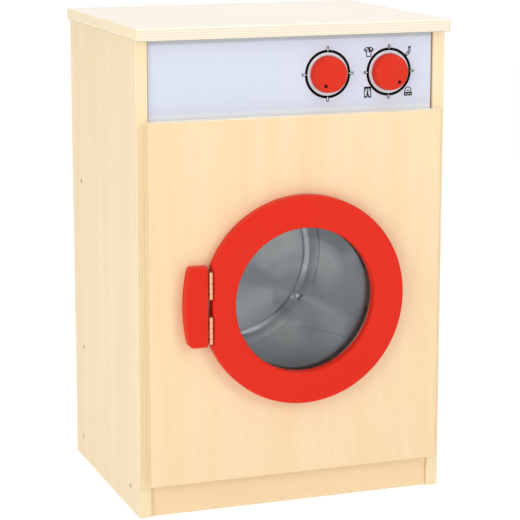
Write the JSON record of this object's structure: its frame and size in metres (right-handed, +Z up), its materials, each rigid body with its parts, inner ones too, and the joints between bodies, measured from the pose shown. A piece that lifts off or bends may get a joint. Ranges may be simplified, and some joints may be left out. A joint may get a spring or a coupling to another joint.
{
  "type": "toy washing machine",
  "caption": "Wooden toy washing machine: plywood cabinet with worktop, round red hinged door with a window, turning ribbed drum and turning dial knobs.",
  "frame": {"origin": "centre of the bounding box, on the floor plane", "axes": "+X to the right seen from the front, +Y to the back (the front faces -Y), +Z up"},
  "size_m": [0.404, 0.3434, 0.602],
  "materials": {
    "birch_ply": "clear satin lacquer on birch plywood",
    "worktop_ply": "clear satin lacquer on pale birch plywood",
    "blue_grey_board": "smooth blue-grey faced board",
    "spruce": "planed spruce",
    "beech_dowel": "plain beech",
    "red_lacquer": "red satin lacquer on fibreboard",
    "black_inlay": "black plug",
    "clear_acrylic": "clear polished acrylic",
    "brass": "polished brass",
    "zinc_steel": "zinc-plated steel",
    "nickel_magnet": "nickel-plated magnet",
    "drum_steel": "spun stainless sheet, satin",
    "white_nylon": "white nylon"
  },
  "bodies": {
    "cabinet": {"left_side_panel": "birch_ply", "right_side_panel": "birch_ply", "worktop": "worktop_ply", "bottom_panel": "birch_ply", "back_panel": "birch_ply", "plinth": "birch_ply", "front_panel": "birch_ply", "control_panel": "blue_grey_board", "left_front_cleat": "spruce", "right_front_cleat": "spruce", "control_panel_cleats": "spruce", "side_panel_screws": "zinc_steel", "front_cleat_screws": "zinc_steel", "control_panel_screws": "zinc_steel", "worktop_dowels": "beech_dowel", "plinth_dowels": "beech_dowel", "hinge_block": "red_lacquer", "hinge_block_screws": "zinc_steel", "upper_hinge_fixed_leaf": "brass", "lower_hinge_fixed_leaf": "brass", "upper_hinge_pin": "zinc_steel", "lower_hinge_pin": "zinc_steel", "fixed_leaf_screws": "brass", "catch_magnet": "nickel_magnet", "drum_bridge": "spruce", "drum_bridge_spacers": "spruce", "drum_bridge_screws": "zinc_steel", "drum_bushing": "white_nylon"},
    "door": {"door_ring": "red_lacquer", "door_window": "clear_acrylic", "window_screws": "zinc_steel", "upper_hinge_door_leaf": "brass", "lower_hinge_door_leaf": "brass", "door_leaf_screws": "brass", "catch_plate": "zinc_steel", "catch_plate_screw": "zinc_steel"},
    "drum": {"drum_pan": "drum_steel", "drum_axle_bolt": "zinc_steel", "drum_hub_tube": "zinc_steel", "drum_axle_washer": "zinc_steel", "drum_axle_nut": "zinc_steel"},
    "left_dial": {"left_knob": "red_lacquer", "left_knob_dot": "black_inlay", "left_knob_spindle": "beech_dowel", "left_knob_washer": "zinc_steel", "left_knob_screw": "zinc_steel"},
    "right_dial": {"right_knob": "red_lacquer", "right_knob_dot": "black_inlay", "right_knob_spindle": "beech_dowel", "right_knob_washer": "zinc_steel", "right_knob_screw": "zinc_steel"}
  },
  "joints": [
    {"name": "door_hinge", "type": "hinge", "parent": "cabinet", "child": "door", "pos_m": [-0.1173, -0.16947, 0.2655], "axis": [0, 0, -1], "range_deg": [0, 175]},
    {"name": "drum_spin", "type": "hinge", "parent": "cabinet", "child": "drum", "pos_m": [0.0055, -0.13828, 0.2655], "axis": [0, -1, 0], "continuous": true},
    {"name": "left_knob_turn", "type": "hinge", "parent": "cabinet", "child": "left_dial", "pos_m": [0.0455, -0.13828, 0.5383], "axis": [0, -1, 0], "continuous": true},
    {"name": "right_knob_turn", "type": "hinge", "parent": "cabinet", "child": "right_dial", "pos_m": [0.1265, -0.13828, 0.5383], "axis": [0, -1, 0], "continuous": true}
  ]
}
